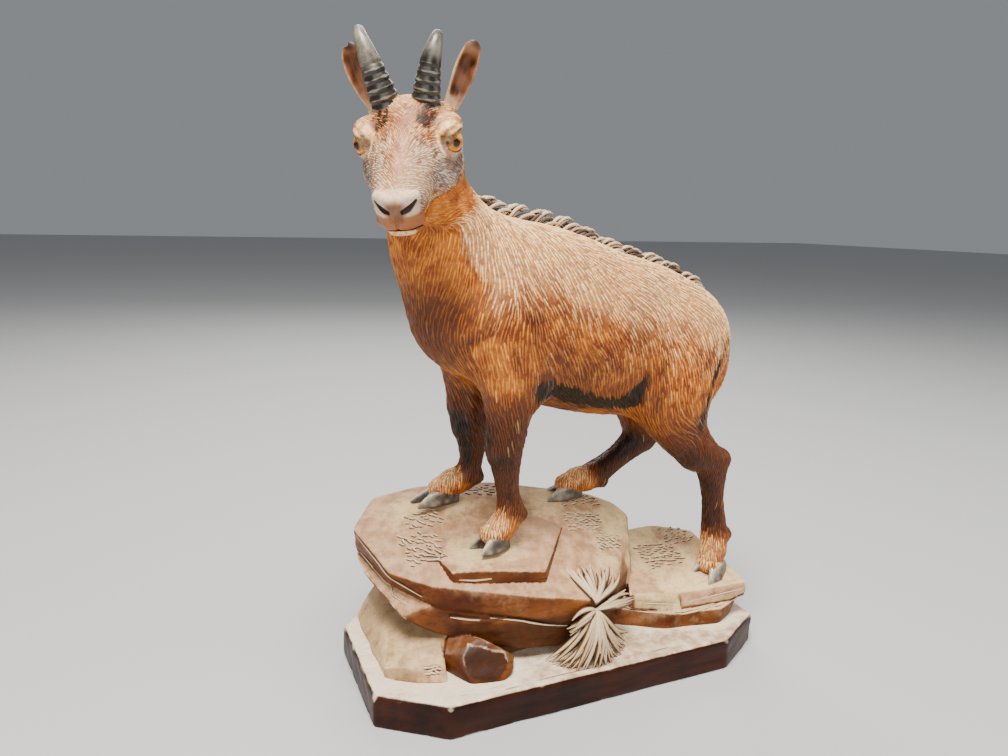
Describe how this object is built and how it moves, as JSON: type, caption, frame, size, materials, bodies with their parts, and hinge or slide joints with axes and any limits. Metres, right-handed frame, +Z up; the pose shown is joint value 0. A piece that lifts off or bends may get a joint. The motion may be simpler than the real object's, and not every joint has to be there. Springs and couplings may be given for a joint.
{
  "type": "carved wooden chamois",
  "caption": "Carved wooden chamois, an ibex-like mountain goat with hooked horns and glass eyes, standing on a rocky base with a chamfered plinth.",
  "frame": {"origin": "centre of the plinth's flat underside", "axes": "+Z up from the underside, X along the plinth with the animal facing -X, and its left flank towards -Y"},
  "size_m": [0.1848, 0.0984, 0.2574],
  "materials": {
    "stained_wood": "stained and rubbed with wax",
    "eye_glass": "polished"
  },
  "bodies": {
    "root": {"carving": "stained_wood", "left_glass_eye": "eye_glass", "right_glass_eye": "eye_glass"}
  },
  "joints": []
}
